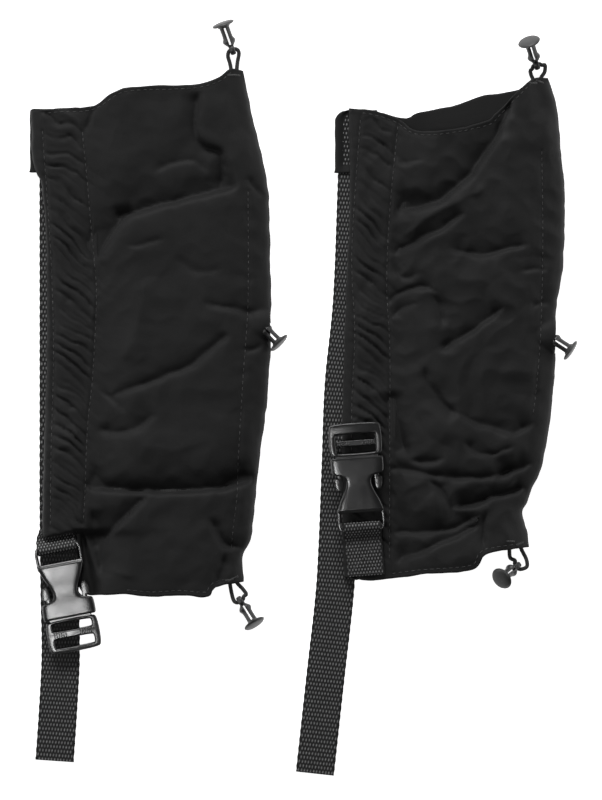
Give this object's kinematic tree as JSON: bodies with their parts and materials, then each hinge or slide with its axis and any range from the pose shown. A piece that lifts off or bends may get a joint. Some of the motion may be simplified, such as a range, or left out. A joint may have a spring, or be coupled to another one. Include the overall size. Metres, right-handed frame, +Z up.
{
  "type": "pair of gaiters",
  "caption": "Pair of short black nylon gaiters with gathered side channels, webbing straps, side-release buckles and elastic loops with mushroom-headed hooks.",
  "frame": {"origin": "centre of the pair’s outline on the floor, both gaiters lying flat on their back panels", "axes": "+Z up off the floor, +Y towards the tops of the gaiters, +X from the left gaiter to the right gaiter"},
  "size_m": [0.3564, 0.493, 0.0216],
  "materials": {
    "nylon": "plain-weave nylon, soft sheen",
    "elastic": "knitted elastic tape",
    "webbing": "woven polyester webbing",
    "acetal": "satin moulded acetal",
    "hook_plastic": "satin moulded nylon",
    "shock_cord": "braided elastic cord"
  },
  "bodies": {
    "left_sleeve": {"left_front_panel": "nylon", "left_back_panel": "nylon", "left_channel_elastic": "elastic", "left_ankle_elastic": "elastic", "left_seam_facing": "nylon", "left_strap": "webbing", "left_strap_anchor_tab": "nylon", "left_buckle_loop": "webbing", "left_loop_middle": "shock_cord"},
    "left_strap_tail": {"left_strap_tail": "webbing"},
    "left_buckle": {"left_buckle_socket": "acetal"},
    "left_plug": {"left_buckle_plug": "acetal"},
    "left_arm_left": {"left_latch_arm_left": "acetal"},
    "left_arm_right": {"left_latch_arm_right": "acetal"},
    "left_loop_top": {"left_loop_top": "shock_cord"},
    "left_hook_top": {"left_hook_top": "hook_plastic"},
    "left_hook_middle": {"left_hook_middle": "hook_plastic"},
    "left_loop_bottom": {"left_loop_bottom": "shock_cord"},
    "left_hook_bottom": {"left_hook_bottom": "hook_plastic"},
    "right_sleeve": {"right_front_panel": "nylon", "right_back_panel": "nylon", "right_channel_elastic": "elastic", "right_ankle_elastic": "elastic", "right_seam_facing": "nylon", "right_strap": "webbing", "right_strap_anchor_tab": "nylon", "right_buckle_loop": "webbing", "right_loop_middle": "shock_cord"},
    "right_strap_tail": {"right_strap_tail": "webbing"},
    "right_buckle": {"right_buckle_socket": "acetal"},
    "right_plug": {"right_buckle_plug": "acetal"},
    "right_arm_left": {"right_latch_arm_left": "acetal"},
    "right_arm_right": {"right_latch_arm_right": "acetal"},
    "right_loop_top": {"right_loop_top": "shock_cord"},
    "right_hook_top": {"right_hook_top": "hook_plastic"},
    "right_hook_middle": {"right_hook_middle": "hook_plastic"},
    "right_loop_bottom": {"right_loop_bottom": "shock_cord"},
    "right_hook_bottom": {"right_hook_bottom": "hook_plastic"}
  },
  "joints": [
    {"name": "left_strap_tail_fold", "type": "hinge", "parent": "left_sleeve", "child": "left_strap_tail", "pos_m": [-0.15816, -0.16816, 0.0015], "axis": [-0.9999, 0.0167, 0], "range_deg": [0, 90]},
    {"name": "left_buckle_fold", "type": "hinge", "parent": "left_sleeve", "child": "left_buckle", "pos_m": [-0.15996, -0.09796, 0.0063], "axis": [-0.9823, -0.1874, 0], "range_deg": [0, 110]},
    {"name": "left_buckle_release", "type": "slide", "parent": "left_buckle", "child": "left_plug", "axis": [0.1874, -0.9823, 0], "range_m": [0, 0.032], "deforming": ["left_latch_arm_left", "left_latch_arm_right"]},
    {"name": "left_latch_squeeze_left", "type": "hinge", "parent": "left_plug", "child": "left_arm_left", "pos_m": [-0.14029, -0.13758, 0.0063], "axis": [0, 0, 1], "range_deg": [0, 9], "stiffness_Nm_per_rad": 0.05},
    {"name": "left_latch_squeeze_right", "type": "hinge", "parent": "left_plug", "child": "left_arm_right", "pos_m": [-0.16367, -0.14203, 0.0063], "axis": [0, 0, -1], "range_deg": [0, 9], "stiffness_Nm_per_rad": 0.05},
    {"name": "left_loop_top_fold", "type": "hinge", "parent": "left_sleeve", "child": "left_loop_top", "pos_m": [-0.04506, 0.21314, 0.0028], "axis": [0.9969, 0.0789, 0], "range_deg": [0, 100], "deforming": ["left_loop_top"]},
    {"name": "left_hook_top_tilt", "type": "hinge", "parent": "left_loop_top", "child": "left_hook_top", "pos_m": [-0.04616, 0.22704, 0.0039], "axis": [0.9412, 0.338, 0], "range_deg": [0, 40]},
    {"name": "left_hook_middle_tilt", "type": "hinge", "parent": "left_sleeve", "child": "left_hook_middle", "pos_m": [-0.02796, 0.04824, 0.0053], "axis": [-0.7071, -0.7071, 0], "range_deg": [0, 40]},
    {"name": "left_loop_bottom_fold", "type": "hinge", "parent": "left_sleeve", "child": "left_loop_bottom", "pos_m": [-0.04546, -0.12066, 0.0028], "axis": [-0.9263, -0.3768, 0], "range_deg": [0, 100], "deforming": ["left_loop_bottom"]},
    {"name": "left_hook_bottom_tilt", "type": "hinge", "parent": "left_loop_bottom", "child": "left_hook_bottom", "pos_m": [-0.04066, -0.13246, 0.0039], "axis": [-0.8448, -0.5351, 0], "range_deg": [0, 40]},
    {"name": "right_gaiter_lift", "type": "slide", "parent": "left_sleeve", "child": "right_sleeve", "axis": [0, 0, 1], "range_m": [0, 0.12]},
    {"name": "right_strap_tail_fold", "type": "hinge", "parent": "right_sleeve", "child": "right_strap_tail", "pos_m": [0.02086, -0.12566, 0.0015], "axis": [-0.9966, 0.0821, 0], "range_deg": [0, 90]},
    {"name": "right_buckle_fold", "type": "hinge", "parent": "right_sleeve", "child": "right_buckle", "pos_m": [0.03834, -0.08366, 0.012], "axis": [0.9972, 0.075, 0], "range_deg": [0, 110]},
    {"name": "right_buckle_release", "type": "slide", "parent": "right_buckle", "child": "right_plug", "axis": [-0.075, 0.9972, 0], "range_m": [0, 0.032], "deforming": ["right_latch_arm_left", "right_latch_arm_right"]},
    {"name": "right_latch_squeeze_left", "type": "hinge", "parent": "right_plug", "child": "right_arm_left", "pos_m": [0.02328, -0.04207, 0.012], "axis": [0, 0, 1], "range_deg": [0, 9], "stiffness_Nm_per_rad": 0.05},
    {"name": "right_latch_squeeze_right", "type": "hinge", "parent": "right_plug", "child": "right_arm_right", "pos_m": [0.04701, -0.04029, 0.012], "axis": [0, 0, -1], "range_deg": [0, 9], "stiffness_Nm_per_rad": 0.05},
    {"name": "right_loop_top_fold", "type": "hinge", "parent": "right_sleeve", "child": "right_loop_top", "pos_m": [0.15254, 0.20834, 0.0028], "axis": [0.9984, 0.0561, 0], "range_deg": [0, 70], "deforming": ["right_loop_top"]},
    {"name": "right_hook_top_tilt", "type": "hinge", "parent": "right_loop_top", "child": "right_hook_top", "pos_m": [0.15204, 0.21724, 0.0039], "axis": [0.9373, 0.3485, 0], "range_deg": [-20, 30]},
    {"name": "right_hook_middle_tilt", "type": "hinge", "parent": "right_sleeve", "child": "right_hook_middle", "pos_m": [0.15954, 0.04074, 0.0053], "axis": [-0.5547, -0.8321, 0], "range_deg": [0, 40]},
    {"name": "right_loop_bottom_fold", "type": "hinge", "parent": "right_sleeve", "child": "right_loop_bottom", "pos_m": [0.13844, -0.09686, 0.0028], "axis": [-0.9989, -0.0465, 0], "range_deg": [0, 70], "deforming": ["right_loop_bottom"]},
    {"name": "right_hook_bottom_tilt", "type": "hinge", "parent": "right_loop_bottom", "child": "right_hook_bottom", "pos_m": [0.13904, -0.10976, 0.0039], "axis": [-0.5832, 0.8123, 0], "range_deg": [-30, 25]}
  ],
  "couplings": [
    {"joint": "left_latch_squeeze_right", "follows": "left_latch_squeeze_left", "ratio": 1},
    {"joint": "right_latch_squeeze_right", "follows": "right_latch_squeeze_left", "ratio": 1}
  ]
}
